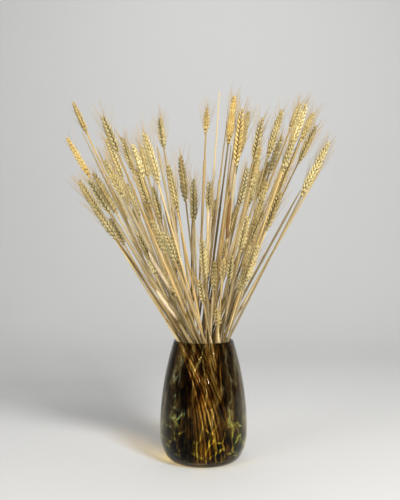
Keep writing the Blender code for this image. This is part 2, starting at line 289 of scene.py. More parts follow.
# %% Ears, bare straws and leaves
LEFT_FAN = (
    (-24.2, 66.2, 8.4), (-25.5, 59.7, 8.7), (-23.2, 51.6, 9.5), (-18.9, 63.5, 6.8), (-18.1, 59.5, 8.6),
    (-18.6, 55.4, 7.0), (-15.1, 59.7, 8.5), (-13.3, 58.4, 6.2), (-12.3, 54.0, 6.5), (-11.2, 60.5, 9.0),
    (-8.1, 63.2, 7.3), (-6.6, 54.5, 8.4), (-9.5, 50.6, 7.3), (-21.5, 51.9, 7.2), (-20.6, 53.1, 8.4),
    (-16.0, 48.4, 6.0), (-10.7, 47.9, 7.1), (-17.4, 44.6, 6.3),
)
MIDDLE = (
    (-4.3, 56.3, 8.5), (-1.9, 51.9, 8.1), (0.7, 64.8, 5.9), (1.1, 51.5, 6.1), (2.4, 48.2, 6.1),
    (5.8, 67.3, 10.5), (7.1, 65.1, 9.8), (8.4, 64.4, 10.4), (10.9, 63.4, 8.0), (8.3, 54.0, 8.3),
    (-5.8, 46.6, 7.0),
)
RIGHT_FAN = (
    (18.1, 66.0, 6.9), (19.1, 65.8, 9.0), (20.4, 64.1, 6.6), (21.0, 61.8, 9.2), (23.3, 58.9, 10.5),
    (14.6, 64.8, 9.4), (16.7, 59.5, 6.0), (16.0, 55.3, 8.5), (15.6, 54.5, 9.5), (12.1, 55.1, 8.2),
    (10.5, 53.5, 9.0), (11.8, 51.4, 9.0),
)
LOW_FRONT = (
    (-7.5, 42.1, 5.8), (-10.9, 38.7, 5.5), (-0.3, 40.7, 8.2), (2.1, 36.7, 5.7), (5.2, 37.8, 5.7),
    (8.6, 39.4, 4.5), (10.0, 39.8, 8.2), (3.6, 37.1, 4.0), (-0.9, 33.2, 4.9), (-7.4, 34.6, 6.0),
    (-10.2, 34.0, 4.0), (2.5, 27.8, 4.4), (6.4, 28.6, 3.6), (7.8, 35.3, 5.2),
)
BARE = ((22.4, 54.9, 0), (-22.5, 60.6, 0), (-4.5, 33.0, 0), (6.0, 58.0, 0))
LEAVES = ((-4.0, 31.0, 9.0), (2.8, 39.5, 8.5), (4.2, 49.0, 7.0), (-6.5, 26.0, 7.0))

MORE_EARS = (
    (-2.2, 49.7, 6.4), (-15.1, 51.0, 7.5), (-13.1, 52.9, 7.5), (-9.6, 45.1, 6.6), (-11.9, 42.6, 6.6),
    (-14.0, 45.6, 7.0), (-6.8, 40.5, 5.8), (15.0, 59.0, 7.8), (9.0, 45.0, 7.0), (11.2, 46.6, 7.5),
    (6.6, 46.0, 6.6), (-12.4, 57.4, 8.0), (-17.0, 52.0, 7.0), (13.6, 50.4, 7.6), (4.6, 43.0, 6.2),
    (9.6, 58.6, 8.2), (-19.6, 47.6, 7.0),
)
MORE_STRAWS = (
    (-20.2, 57.0), (-17.5, 57.0), (-14.2, 54.5), (-12.0, 49.0), (-9.8, 53.0), (-9.0, 57.0), (-5.4, 50.0),
    (-1.2, 45.5), (1.6, 47.0), (3.8, 68.0), (4.8, 50.0), (7.2, 54.0), (9.4, 49.5), (11.4, 57.0),
    (13.0, 52.0), (14.8, 56.0), (17.0, 60.0), (-15.6, 42.0), (17.2, 50.5), (-7.0, 46.0), (7.6, 44.0),
    (5.2, 61.5), (4.3, 58.0), (6.4, 62.0),
)
WITH_SOLIDS = LEFT_FAN + MIDDLE + RIGHT_FAN + LOW_FRONT + BARE
print("stalks with solids:", len(WITH_SOLIDS), "further stalks:", len(MORE_EARS) + len(MORE_STRAWS))


# %% Half section of the vase
def outside(z):
    """Outer radius of the vase at height z."""
    if z >= BELLY_HEIGHT:
        rise = (z - BELLY_HEIGHT) / (VASE_HEIGHT - BELLY_HEIGHT)
        return BELLY_RADIUS - (BELLY_RADIUS - RIM_RADIUS) * rise**2
    drop = (BELLY_HEIGHT - z) / BELLY_HEIGHT
    return BASE_RADIUS + (BELLY_RADIUS - BASE_RADIUS) * math.sqrt(1 - drop**2)


def inside(z):
    """Inner radius of the vase at height z."""
    if z >= BELLY_HEIGHT:
        return outside(z) - WALL
    drop = (BELLY_HEIGHT - z) / (BELLY_HEIGHT - FLOOR)
    return FLOOR_RADIUS + (BELLY_RADIUS - WALL - FLOOR_RADIUS) * math.sqrt(max(0, 1 - drop**2))


print("belly radii in mm:", [round(radius(BELLY_HEIGHT) / MM, 1) for radius in (inside, outside)])


# %% Family of straw curves
def sheaf(share):
    """2 x 2 matrix that takes a foot on the floor to the straw's place at a share of the sheaf's height.

    Straws bend below the rim and are straight above it.
    """
    if share < RIM_SHARE:
        climb = share / RIM_SHARE
        out = RIM_SPREAD * climb + (SPREAD * RIM_SHARE - RIM_SPREAD) * (climb**2 - climb)
    else:
        out = RIM_SPREAD + SPREAD * (share - RIM_SHARE)
    c, s = math.cos(TWIST), math.sin(TWIST)
    return np.array((
        (1 - share + out * c, -out * s),
        (out * DEPTH_SHARE * s, 1 - share + out * DEPTH_SHARE * c),
    ))


SHARES = np.arange(0, 1.14, 0.0125)
UPPER_LEVEL = 70
HEIGHTS = FOOT_HEIGHT + SHARES * SHEAF_HEIGHT
SHEAF = np.array([sheaf(share) for share in SHARES])
INSIDE = np.array([inside(z) if z < VASE_HEIGHT + 0.004 else 1 for z in HEIGHTS])
print("levels:", len(SHARES), "upper level at", round(HEIGHTS[UPPER_LEVEL], 3), "m")

# %% [markdown]
# ## How deep each stalk stands
#
# An ear that is seen at one place can stand at many depths, and each depth asks for another foot. The feet
# could be drawn at random, but then straws would touch. Instead every depth at which the straw stays inside
# the vase is listed, and each stalk takes the one that leaves it the most room, over a few rounds.


# %% Depths that a stalk can have
def places(tip, low, high):
    """Every depth at which a straw can carry this ear where it is seen, and still stand inside the vase."""
    found = []
    for y in np.arange(low, high + 0.0001, DEPTH_STEP):
        nearer = 1 + y / EYE_DISTANCE
        x = tip[0] * CM * nearer
        z = EYE_HEIGHT + (tip[1] * CM - EYE_HEIGHT) * nearer
        top = (z - FOOT_HEIGHT) / SHEAF_HEIGHT
        foot = np.linalg.solve(sheaf(top), (x, y))
        base = top - tip[2] * CM * 0.9 / SHEAF_HEIGHT
        girth = np.where(SHARES > base - 0.01, EAR_ROOM if tip[2] else STRAW_ROOM, STRAW_ROOM)
        girth = np.where(SHARES > top + 0.01, -1, girth)
        path = SHEAF @ foot
        if math.hypot(*foot) < FOOT_REACH and (np.hypot(*path.T) + girth + GLASS_ROOM < INSIDE - GAP).all():
            found.append({"foot": foot, "top": top, "girth": girth, "path": path})
    return found


def paths_and_girths(straws):
    """Where these straws are and how much room they take, level by level."""
    return np.array([straw["path"] for straw in straws]), np.array([straw["girth"] for straw in straws])


def least_room(option, paths, girths):
    """Least clear space between this straw and the others, measured level by level."""
    apart = np.linalg.norm(paths - option["path"], axis=2) * LEAN_LOSS
    return (apart - girths - option["girth"]).min()


print("depths for the first ear:", len(places(LEFT_FAN[0], -DEEPEST, DEEPEST)))


# %% Depth of every straw
ROUNDS = 6
FRONT_DEPTHS = (-0.15, -0.01)
BARE_DEPTHS = (-0.15, 0.15)


def stand_straws():
    """Choose each straw's depth so that it keeps as much room as it can from all the others."""
    tips = [(tip, -DEEPEST, DEEPEST) for tip in LEFT_FAN + MIDDLE + RIGHT_FAN]
    tips += [(tip, *FRONT_DEPTHS) for tip in LOW_FRONT]
    tips += [(tip, *BARE_DEPTHS) for tip in BARE]
    tips.sort(key=lambda row: -abs(row[0][0]))
    choices = [places(*row) for row in tips]
    chosen = [None] * len(tips)
    for _ in range(ROUNDS):
        for i, options in enumerate(choices):
            others = [other for j, other in enumerate(chosen) if other and j != i]
            if not others:
                chosen[i] = options[len(options) // 2]
                continue
            around = paths_and_girths(others)
            chosen[i] = max(options, key=lambda option: least_room(option, *around))
    for straw, (tip, _, _) in zip(chosen, tips):
        straw["ear"] = tip[2] * CM
        straw["tip"] = tip
    chosen.sort(key=lambda straw: (straw["ear"] == 0, straw["path"][UPPER_LEVEL][0]))
    return chosen


def centre(straw, share):
    """Middle of the straw at a share of the sheaf's height."""
    x, y = sheaf(share) @ straw["foot"]
    return Vector((x, y, FOOT_HEIGHT + share * SHEAF_HEIGHT))


def frame_at(straw, share):
    """Middle of the straw, its direction, and the two directions across it after its own turn."""
    middle = centre(straw, share)
    along = (centre(straw, share + 0.01) - centre(straw, share - 0.01)).normalized()
    side = Vector((0, 1, 0)).cross(along).normalized()
    c, s = math.cos(straw["turn"]), math.sin(straw["turn"])
    deep = along.cross(side)
    return middle, along, side * c + deep * s, deep * c - side * s


standing = stand_straws()
print("straws standing:", len(standing))

# %% [markdown]
# ## Where the leaves go
#
# A dried blade leaves its joint close to the straw. It could cut through the next straw there, so several
# lines are tried round the joint, their room is measured against sample points of everything placed so far,
# and of the clear lines the one nearest the viewer is kept.


# %% Leaf lines, clear of the straws
EAR_MARGIN = 0.0008
STRAW_MARGIN = 0.0004
THICKER_THAN_STRAW = 0.004
OPEN_SPACE = 0.02
LEAF_ROOM = 0.0006
LEAF_LEANS = (0.05, 0.12)
SPINE_STEPS = 6
# Straws cross closely about the rim, so a swollen joint is either well above it or low in the vase.
JOINT_BELOW_EAR = (0.36, 0.50)
LOWEST_HIGH_JOINT = 0.41
LOW_JOINT = (0.08, 0.26)
SHEATH_LENGTH = (0.16, 0.24)


class Crowd:
    """Sample points of everything placed so far, as rows of x, y, z, radius and straw number."""

    def __init__(self, straws):
        self.rows = np.array([
            (*centre(straw, share), girth + (EAR_MARGIN if girth == EAR_ROOM else STRAW_MARGIN), number)
            for number, straw in enumerate(straws)
            for share, girth in zip(SHARES, straw["girth"])
            if girth > 0
        ])

    def room(self, line, owner):
        """Least gap from a line of points to other straws, and to the owner's ear."""
        line = np.array(line)
        near = (self.rows[:, :3] > line.min(0) - 0.03).all(1) & (self.rows[:, :3] < line.max(0) + 0.03).all(1)
        rows = self.rows[near & ((self.rows[:, 4] != owner) | (self.rows[:, 3] > THICKER_THAN_STRAW))]
        if not len(rows):
            return OPEN_SPACE
        apart = np.linalg.norm(rows[None, :, :3] - line[:, None], axis=2)
        return (apart - rows[:, 3]).min()

    def add(self, line, radius, owner):
        """Count this line of points as taken."""
        self.rows = np.vstack([self.rows] + [(*point, radius, owner) for point in line])


def choose_leaf(straw, length, crowd):
    """A clear line for a blade, from the side of its joint that faces the viewer most."""
    middle, along, across, deep = frame_at(straw, straw["joint"] + 0.004)
    lines = []
    for out in (across, deep, -across, -deep):
        for lean in LEAF_LEANS:
            spine = [middle + out * JOINT]
            for k in range(1, SPINE_STEPS + 1):
                s = k / SPINE_STEPS
                rise = length * s * (1 - 0.15 * lean * s)
                away = 0.003 + length * lean * s * (0.45 + 0.75 * s)
                spine.append(middle + along * rise + out * away)
            line = spine[1:] + [a.lerp(b, 0.5) for a, b in zip(spine[1:], spine[2:])]
            gap = crowd.room(line, straw["number"])
            lines.append((gap, spine, out))
    clear = [line for line in lines if line[0] > LEAF_HALF + LEAF_ROOM]
    clear = clear or [max(lines, key=lambda line: line[0])]
    gap, spine, out = min(clear, key=lambda line: line[2].y)
    half = min(LEAF_HALF, gap - LEAF_ROOM)
    crowd.add(spine[1:], half, straw["number"])
    return {"spine": spine, "out": out, "half": half, "along": along}


def dress_straws(straws):
    """Give every straw its turn, its joint and sheath, and near the listed places a leaf."""
    for number, straw in enumerate(straws):
        rng = random.Random(90 + number)
        straw["number"] = number
        straw["turn"] = rng.uniform(0, math.pi)
        length = straw["top"] - straw["ear"] / SHEAF_HEIGHT
        straw["joint"] = length - rng.uniform(*JOINT_BELOW_EAR)
        if straw["joint"] < LOWEST_HIGH_JOINT:
            straw["joint"] = rng.uniform(*LOW_JOINT)
        straw["sheath"] = rng.uniform(*SHEATH_LENGTH)
        straw["leaf"] = None
    crowd = Crowd(straws)
    for x, z, length in LEAVES:
        share = (z * CM - FOOT_HEIGHT) / SHEAF_HEIGHT
        end = share + length * CM / SHEAF_HEIGHT
        fit = [s for s in straws if not s["leaf"] and s["top"] - s["ear"] / SHEAF_HEIGHT > end]
        places_there = [(abs(centre(s, share).x - x * CM) + 0.5 * (centre(s, share).y + 0.1), s) for s in fit]
        nearest = min(places_there, key=lambda row: row[0])[1]
        nearest["joint"] = share
        nearest["leaf"] = choose_leaf(nearest, length * CM, crowd)
        nearest["leaf"]["kind"] = (x, z, length)


dress_straws(standing)
for i, straw in enumerate(s for s in standing if s["ear"]):
    straw["node"] = f"wheat_{i + 1:02d}"
for i, straw in enumerate(s for s in standing if not s["ear"]):
    straw["node"] = f"straw_{i + 1:02d}"
print("stalks with a leaf:", [straw["node"] for straw in standing if straw["leaf"]])

# %% [markdown]
# ## Stalks between the others
#
# The real sheaf holds about a hundred stalks. The further ones could be scattered at random, but then most
# would run through others. Instead each may move up to eight millimetres from its listed place, and takes
# the spot and depth with the most room. The ears are placed first and the bare straws second, each group
# against the stalks with solids and its own. The second doesn't look at the first, nor either at the leaf
# blades, so some bare straws still run through an ear of the first group.

# %% Stalks between the others
SHIFTS_ACROSS = (-0.8, -0.4, 0, 0.4, 0.8)
SHIFTS_UP = (-0.8, 0, 0.8)
MORE_EAR_DEPTHS = (-0.13, 0.15)
MORE_STRAW_DEPTHS = (-0.10, 0.15)
TALL = 0.7
HIGH_JOINT = (0.42, 0.62)
MORE_SHEATH = (0.14, 0.24)


def stand_more(tips, low, high):
    """Stand a group of straws near these tips, with the most room to the standing ones and its own."""
    more = []
    for number, tip in enumerate(tips):
        tip = (*tip, 0)[:3]
        options = []
        for x, z in itertools.product(SHIFTS_ACROSS, SHIFTS_UP):
            options += places((tip[0] + x, tip[1] + z, tip[2]), low, high)
        around = paths_and_girths(standing + more)
        straw = max(options, key=lambda option: least_room(option, *around))
        rng = random.Random(400 + number)
        straw.update(ear=tip[2] * CM, tip=tip, leaf=None, turn=rng.uniform(0, math.pi), number=100 + number)
        length = straw["top"] - straw["ear"] / SHEAF_HEIGHT
        straw["joint"] = rng.uniform(*(HIGH_JOINT if length > TALL else LOW_JOINT))
        straw["sheath"] = rng.uniform(*MORE_SHEATH)
        more.append(straw)
    rooms = [least_room(straw, *paths_and_girths(standing + more[:i])) for i, straw in enumerate(more)]
    print("room to the standing ones and its own in mm:", round(min(rooms) / MM, 2))
    return more


between = stand_more(MORE_EARS, *MORE_EAR_DEPTHS)
between += stand_more(MORE_STRAWS, *MORE_STRAW_DEPTHS)
for i, straw in enumerate(between):
    straw["node"] = None
    straw["name"] = f"between_{i + 1:02d}"


# %% [markdown]
# ## Check against the solids
#
# The stalks worked out here have to be where the solids are. Each solid's box is read from its mesh, so the
# foot and the tip of every straw are compared with it before any time goes into looks.


# %% Test the places against the solids
def misfit(straw):
    """How far the straw's foot and tip stand outside its solid's box."""
    low, high = (Vector(corner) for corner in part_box(straw["node"]))
    ends = (centre(straw, 0), centre(straw, straw["top"]))
    return max(max(low[k] - end[k], end[k] - high[k]) for end in ends for k in range(3))


print("straws:", len(standing), "worst misfit in mm:", round(max(misfit(s) for s in standing) / MM, 3))

# %% [markdown]
# ## Dry plant material
#
# Ripe straw, husks and leaves are all one dry fibre: pale yellow, streaked along their length, and duller
# where they have weathered. Each husk and leaf is also painted darker towards its base: painted shade of
# the crevices where the parts overlap. Each could have a tree of nodes of its own, but one group with named
# inputs keeps them alike, and each material gives it its own colours. The group reads two attributes of the
# mesh. `grain` is the place on the straight, unbent part, so that streaks run along it however it bends.
# `tint` holds three shares: how light the part is (its own tone, with painted shade on stalks deep in the
# sheaf), how golden, and how far from base to tip. The group puts out a colour, a roughness and a height for
# the bump.

# %% Fibre group
def build_fibre_group():
    """A group of nodes that turns grain and tint into the look of dry fibre."""
    tree = bpy.data.node_groups.new("dry_fibre", "ShaderNodeTree")
    for name, kind, value in (
        ("Pale", "NodeSocketColor", (0.8, 0.68, 0.42, 1)),
        ("Gold", "NodeSocketColor", (0.7, 0.45, 0.15, 1)),
        ("Deep", "NodeSocketColor", (0.2, 0.12, 0.04, 1)),
        ("Streaks", "NodeSocketFloat", 0.4),
        ("Streak Width", "NodeSocketFloat", 0.4),
        ("Base Shade", "NodeSocketFloat", 0.5),
        ("Roughness", "NodeSocketFloat", 0.6),
    ):
        socket = tree.interface.new_socket(name, in_out="INPUT", socket_type=kind)
        socket.default_value = value
    for name, kind in (
        ("Color", "NodeSocketColor"), ("Roughness", "NodeSocketFloat"), ("Height", "NodeSocketFloat"),
    ):
        tree.interface.new_socket(name, in_out="OUTPUT", socket_type=kind)
    given = tree.nodes.new("NodeGroupInput").outputs
    result = tree.nodes.new("NodeGroupOutput").inputs

    tint = add_node(tree, "ShaderNodeAttribute", {"attribute_name": "tint"}).outputs["Vector"]
    shares = add_node(tree, "ShaderNodeSeparateXYZ", Vector=tint).outputs
    grain = add_node(tree, "ShaderNodeAttribute", {"attribute_name": "grain"}).outputs["Vector"]

    def math_node(operation, a, b=0.0, c=0.0):
        return add_node(tree, "ShaderNodeMath", {"operation": operation}, i0=a, i1=b, i2=c).outputs[0]

    across = math_node("DIVIDE", 1000.0, given["Streak Width"])
    stretch = add_node(tree, "ShaderNodeCombineXYZ", X=across, Y=across, Z=70.0).outputs[0]
    drawn = add_node(tree, "ShaderNodeVectorMath", {"operation": "MULTIPLY"}, i0=grain, i1=stretch).outputs[0]
    fine = {"Scale": 1.0, "Detail": 3.0, "Roughness": 0.6}
    fibres = add_node(tree, "ShaderNodeTexNoise", Vector=drawn, **fine).outputs["Fac"]
    patches = add_node(tree, "ShaderNodeTexNoise", Vector=grain, Scale=140.0, Detail=2.0).outputs["Fac"]

    golden = blend(tree, shares[1], given["Pale"], given["Gold"])
    fibre_mask = remap(tree, fibres, 0.42, 0.72, 0.0, 1.0)
    streaked = blend(tree, math_node("MULTIPLY", fibre_mask, given["Streaks"]), golden, given["Deep"])
    patch_mask = remap(tree, patches, 0.45, 0.75, 0.0, 0.35)
    patched = blend(tree, patch_mask, streaked, given["Gold"])
    # Painted shade: each husk and leaf is darkened towards Deep near its base, for the shade in the crevices
    # where the parts overlap.
    painted_shade_mask = remap(tree, shares[2], 0.0, 0.45, 1.0, 0.0, "SMOOTHSTEP")
    shade_painted = blend(tree, math_node("MULTIPLY", painted_shade_mask, given["Base Shade"]), patched, given["Deep"])
    light = math_node("MULTIPLY_ADD", shares[0], 0.75, 0.56)
    toned = add_node(tree, "ShaderNodeVectorMath", {"operation": "SCALE"}, i0=shade_painted, Scale=light).outputs[0]
    tree.links.new(toned, result["Color"])
    rough = math_node("MULTIPLY_ADD", fibres, 0.25, -0.12)
    tree.links.new(math_node("ADD", given["Roughness"], rough), result["Roughness"])
    tree.links.new(fibres, result["Height"])
    return tree


FIBRE = build_fibre_group()
print("fibre group inputs:", [s.name for s in FIBRE.interface.items_tree if s.in_out == "INPUT"])


# %% Materials of the plant
# DEEP is the dark brown of the fibre streaks, and also of the painted shade at the base of husks and leaves.
DEEP = (0.10, 0.055, 0.015)


def plant_material(name, pale, gold, streaks, streak_width, base_shade, roughness, bump, sheen=0.0):
    """A dry, dull material. Streak width is in millimetres. Painted shade darkens the base of each husk and
    leaf.
    """
    made, tree, shader = new_material(name, Specular_IOR_Level=0.3, Sheen_Weight=sheen, Sheen_Roughness=0.4)
    group = add_node(
        tree, "ShaderNodeGroup", {"node_tree": FIBRE}, Pale=(*pale, 1), Gold=(*gold, 1), Deep=(*DEEP, 1),
        Streaks=streaks, Streak_Width=streak_width, Base_Shade=base_shade, Roughness=roughness,
    )
    tree.links.new(group.outputs["Color"], shader.inputs["Base Color"])
    tree.links.new(group.outputs["Roughness"], shader.inputs["Roughness"])
    relief = add_node(tree, "ShaderNodeBump", Strength=bump, Distance=0.0004, Height=group.outputs["Height"])
    tree.links.new(relief.outputs[0], shader.inputs["Normal"])
    return made


# The sixth number is painted shade: how much the base of each husk and leaf is darkened for the shade in the
# crevices between them.
LOOKS = (
    plant_material("husk", (0.78, 0.69, 0.36), (0.69, 0.47, 0.13), 0.34, 0.50, 0.66, 0.50, 0.5, sheen=0.1),
    plant_material("straw", (0.65, 0.51, 0.25), (0.52, 0.32, 0.08), 0.40, 0.35, 0.0, 0.50, 0.35),
    plant_material("sheath", (0.77, 0.64, 0.38), (0.62, 0.40, 0.13), 0.35, 0.50, 0.0, 0.60, 0.5),
    plant_material("awn", (0.60, 0.45, 0.20), (0.52, 0.33, 0.10), 0.15, 0.20, 0.0, 0.45, 0.0),
    plant_material("leaf", (0.82, 0.66, 0.44), (0.36, 0.19, 0.07), 0.45, 0.50, 0.3, 0.65, 0.6),
)
HUSK, STRAW, SHEATH, AWN, LEAF = range(len(LOOKS))
print("plant materials:", [m.name for m in LOOKS])

# %% [markdown]
# ## Templates
#
# An ear has about a hundred husks and tens of awns. Sculpting each would take days, and modelling one ear
# and copying it would show the same ear a hundred times. So the husks and awns are small templates that are
# copied one by one with a little chance in each. A husk starts as a sphere of few faces and is drawn out to
# a boat with a keel and a pointed tip. Straws and awns start as a closed cylinder cut into rings, which is
# later laid along a curve.


# %% Template helpers
def to_template(name, bm, slot):
    """A mesh of this bmesh, with its straight place kept as grain and an empty tint, filled for each copy."""
    mesh = bpy.data.meshes.new(name)
    for face in bm.faces:
        face.material_index = slot
        face.smooth = True
    bm.to_mesh(mesh)
    bm.free()
    places_now = np.array([v.co for v in mesh.vertices])
    grain = mesh.attributes.new("grain", "FLOAT_VECTOR", "POINT")
    grain.data.foreach_set("vector", places_now.ravel())
    mesh.attributes.new("tint", "FLOAT_VECTOR", "POINT")
    return {"mesh": mesh, "co": places_now}


def put(bm, template, co, grain, tint):
    """Add a copy of the template with its points at co, and its own grain and tint."""
    copy = template["mesh"].copy()
    copy.vertices.foreach_set("co", np.asarray(co, np.float32).ravel())
    copy.attributes["grain"].data.foreach_set("vector", np.asarray(grain, np.float32).ravel())
    copy.attributes["tint"].data.foreach_set("vector", np.asarray(tint, np.float32).ravel())
    bm.from_mesh(copy)
    bpy.data.meshes.remove(copy)


print("material slots:", dict(husk=HUSK, straw=STRAW, sheath=SHEATH, awn=AWN, leaf=LEAF))


# %% Husk templates
HUSK_SIDES = 8
HUSK_RINGS = 6


def husk_template(name, length, width, thick, keel):
    """A pointed boat: round and keeled on its outer side (+X), flatter inside, widest below the middle."""
    bm = bmesh.new()
    bmesh.ops.create_uvsphere(bm, u_segments=HUSK_SIDES, v_segments=HUSK_RINGS, radius=1)
    for v in bm.verts:
        s = (v.co.z + 1) / 2
        ring = math.hypot(v.co.x, v.co.y)
        c, d = (v.co.x / ring, v.co.y / ring) if ring > 1e-6 else (0, 0)
        girth = 2.55 * s**0.55 * max(0, 1 - s) ** 0.85
        out = c * (thick / 2) * (1 + keel * (abs(d) < 0.1) if c > 0 else 0.45)
        belly = 0.35 * thick * math.sin(math.pi * s)
        v.co = (out * girth + belly, d * width / 2 * girth, s * length)
    template = to_template(name, bm, HUSK)
    template["share"] = template["co"][:, 2] / length
    return template


lemma = husk_template("lemma", 9.0 * MM, 4.4 * MM, 3.4 * MM, 0.2)
glume = husk_template("glume", 7.4 * MM, 3.7 * MM, 2.4 * MM, 0.5)
print("husk faces:", len(lemma["mesh"].polygons))


# %% Tube template
def tube_template(name, sides, rings, slot):
    """A closed cylinder of radius 1 and height 1, cut into rings, to be laid along a curve."""
    bm = bmesh.new()
    bmesh.ops.create_cone(bm, cap_ends=True, segments=sides, radius1=1, radius2=1, depth=1)
    upright = [e for e in bm.edges if abs(e.verts[0].co.z - e.verts[1].co.z) > 0.5]
    bmesh.ops.subdivide_edges(bm, edges=upright, cuts=rings - 2)
    bmesh.ops.translate(bm, vec=(0, 0, 0.5), verts=bm.verts)
    return to_template(name, bm, slot)


STRAW_SIDES = 10
STRAW_RINGS = 46
AWN_SIDES = 3
AWN_RINGS = 6
tube = tube_template("tube", STRAW_SIDES, STRAW_RINGS, STRAW)
hair = tube_template("hair", AWN_SIDES, AWN_RINGS, AWN)
print("tube faces:", len(tube["mesh"].polygons), "hair faces:", len(hair["mesh"].polygons))

# %% [markdown]
# ## Straw
#
# A wheat straw is a hollow culm with a swollen joint. The sheath of the last leaf wraps it from the joint
# up and ends in a collar, and only then does the thin top of the culm show. Culm, joint and sheath could be
# three tubes, one in another, but nothing shows of what is inside. So one tube has all of it, as a radius
# that changes along the straw, and the faces between joint and collar get the sheath's material.

# %% Straw radius and rings
CULM = 1.55 * MM
WRAPPED = 1.85 * MM
SWOLLEN = 2.05 * MM
NECK = 1.25 * MM
NARROW_SHARE = 0.3
WIDE_SHARE = 0.46
WIDER = 1.22


def straw_stops(straw, base):
    """Shares of height and radii along the straw, from its foot into the ear."""
    joint = straw["joint"]
    collar = min(base - 0.02, joint + straw["sheath"] + straw["wrap"])
    stops = [
        (0.0, CULM), (joint - 0.010, CULM), (joint - 0.004, SWOLLEN * 0.94), (joint, SWOLLEN),
        (joint + 0.004, SWOLLEN * 0.94), (joint + 0.010, WRAPPED),
    ]
    if collar > joint + 0.05:
        open_end = WRAPPED * straw["loose"]
        stops += [(collar - 0.05, open_end), (collar - 0.01, open_end)]
        stops += [(collar, WRAPPED), (collar + 0.003, NECK * 1.15)]
    stops += [(base, NECK if straw["ear"] else 0.55 * NECK)]
    if straw["ear"]:
        stops += [(straw["top"] - 0.008, 0.6 * MM)]
    return collar, stops


def lay_straw(bm, straw, base, rng):
    """Lay a tube along the straw. It is thinner in the vase, where the straws cross closely."""
    collar, stops = straw_stops(straw, base)
    top = stops[-1][0]
    marks = sorted({share for share, _ in stops})
    spare = STRAW_RINGS - len(marks)
    rings = np.array(sorted(marks + list(np.linspace(0, top, spare + 2)[1:-1])))
    radii = np.interp(rings, *zip(*stops)) * np.interp(rings, (NARROW_SHARE, WIDE_SHARE), (1, WIDER))
    co, grain, tint = [], [], []
    frames = [frame_at(straw, share) for share in rings]
    offset = rng.uniform(0, 5)
    for x, y, z in tube["co"]:
        k = round(z * (STRAW_RINGS - 1))
        middle, _, across, deep = frames[k]
        co.append(middle + (across * x + deep * y) * radii[k])
        grain.append((x * CULM + offset, y * CULM, rings[k] * SHEAF_HEIGHT))
        worn = 0.12 * math.sin(rings[k] * 9 + offset)
        near_joint = math.exp(-((rings[k] - straw["joint"]) / 0.008) ** 2)
        light = straw["straw_light"] + worn - 0.55 * near_joint
        tint.append((light, straw["ripe"] + 0.5 * near_joint, 1.0))
    before = len(bm.faces)
    put(bm, tube, co, grain, tint)
    bm.faces.ensure_lookup_table()
    low, high = centre(straw, straw["joint"] + 0.006).z, centre(straw, collar + 0.001).z
    if collar > straw["joint"] + 0.05:
        for face in bm.faces[before:]:
            if low < face.calc_center_median().z < high:
                face.material_index = SHEATH


print("widest straw in mm:", round(2 * SWOLLEN * WIDER / MM, 1))

# %% [markdown]
# ## Ear
#
# A wheat ear is a zigzag of spikelets that sit left and right in turn on the top of the straw. Each spikelet
# is a small fan: two keeled glumes outside, and three florets that show only their lemmas. Most lemmas run
# out into an awn, a stiff hair. A bump texture on a spindle could stand for the husks from afar, but light
# catches each husk's edge and the outline is jagged, so every husk is a piece of mesh. They are set as they
# grow, and from any side the overlapping fans make the braid of an ear.

# %% Spikelets
SPIKELET_STEP = 3.9 * MM
SPIKELET = (
    # template, side, rise, seat across, splay, tilt and roll in degrees
    ("glume", -1, 0.0, 1.3 * MM, 17, 15, 66),
    ("glume", 1, 0.0, 1.3 * MM, 17, 15, 66),
    ("lemma", -1, 0.8 * MM, 0.9 * MM, 22, 21, 42),
    ("lemma", 1, 0.8 * MM, 0.9 * MM, 22, 21, 42),
    ("lemma", 0, 2.2 * MM, 0.0, 0, 18, 0),
)
TEMPLATES = {"glume": glume, "lemma": lemma}
WIDE_EAR = 1.17
FILLED = 0.93
SEAT_OUT = 0.7 * MM
LONE_BEARD = 0.3
AWN_LENGTHS = (32, 58)
AWN_GIRTH = 0.36
AWN_TAPER = 0.25
LEAST_AWN = 5 * MM
print("husks on a full ear:", round(FULL_EAR / SPIKELET_STEP) * len(SPIKELET))


# %% Parts of an ear
def ear_shape(s, length):
    """Share of full width at share s of the ear: a quick swell, then a slow taper. Short ears are slimmer."""
    plump = 1 + 0.35 * (length - FULL_EAR) / FULL_EAR
    swell = min(1, 0.55 + s / 0.16 * 0.45)
    taper = 1 if s < 0.45 else 1 - 0.58 * ((s - 0.45) / 0.55) ** 1.7
    return WIDE_EAR * plump * swell * taper


def put_husk(bm, template, seat, way, back, size, light, gold, rng):
    """Place one husk: it points along way and its keel faces back. Returns its tip."""
    back = (back - way * back.dot(way)).normalized()
    side = way.cross(back)
    turn = np.array((back, side, way)).T
    co = template["co"] * size @ turn.T + np.array(seat)
    grain = template["co"] + rng.uniform(0, 9)
    shares = template["share"]
    tint = np.column_stack((np.full(len(shares), light), np.full(len(shares), gold), shares))
    put(bm, template, co, grain, tint)
    return seat + way * (template["co"][:, 2].max() * size)


def put_awn(bm, seat, start, end, length, light):
    """A stiff tapering hair that leaves along start and bends slowly to end, inside the solids' box."""
    low, high = (Vector(corner) for corner in cad_box)
    while length > LEAST_AWN:
        tip = seat + (start + end) * (length / 2)
        if all(low[k] < tip[k] < high[k] for k in range(3)):
            break
        length *= 0.9
    side = start.cross(Vector((0.3, 0.5, 0.81))).normalized()
    deep = start.cross(side)
    co, grain, tint = [], [], []
    for x, y, z in hair["co"]:
        girth = (AWN_GIRTH - AWN_TAPER * z) * MM
        co.append(seat + (start * z + (end - start) * (z * z / 2)) * length + (side * x + deep * y) * girth)
        grain.append((x * MM, y * MM, z * length))
        tint.append((light, 0.3 + 0.4 * light, z))
    put(bm, hair, co, grain, tint)


def turned_out(out, deep, along, side, splay, tilt):
    """The direction of a husk: up the ear, splayed to its side and tilted away from the ear."""
    a, b = math.radians(splay), math.radians(tilt)
    return (along * math.cos(a) * math.cos(b) + out * math.sin(b) + deep * (side * math.sin(a))).normalized()


print("width along a full ear:", [round(ear_shape(s / 4, FULL_EAR), 2) for s in range(5)])


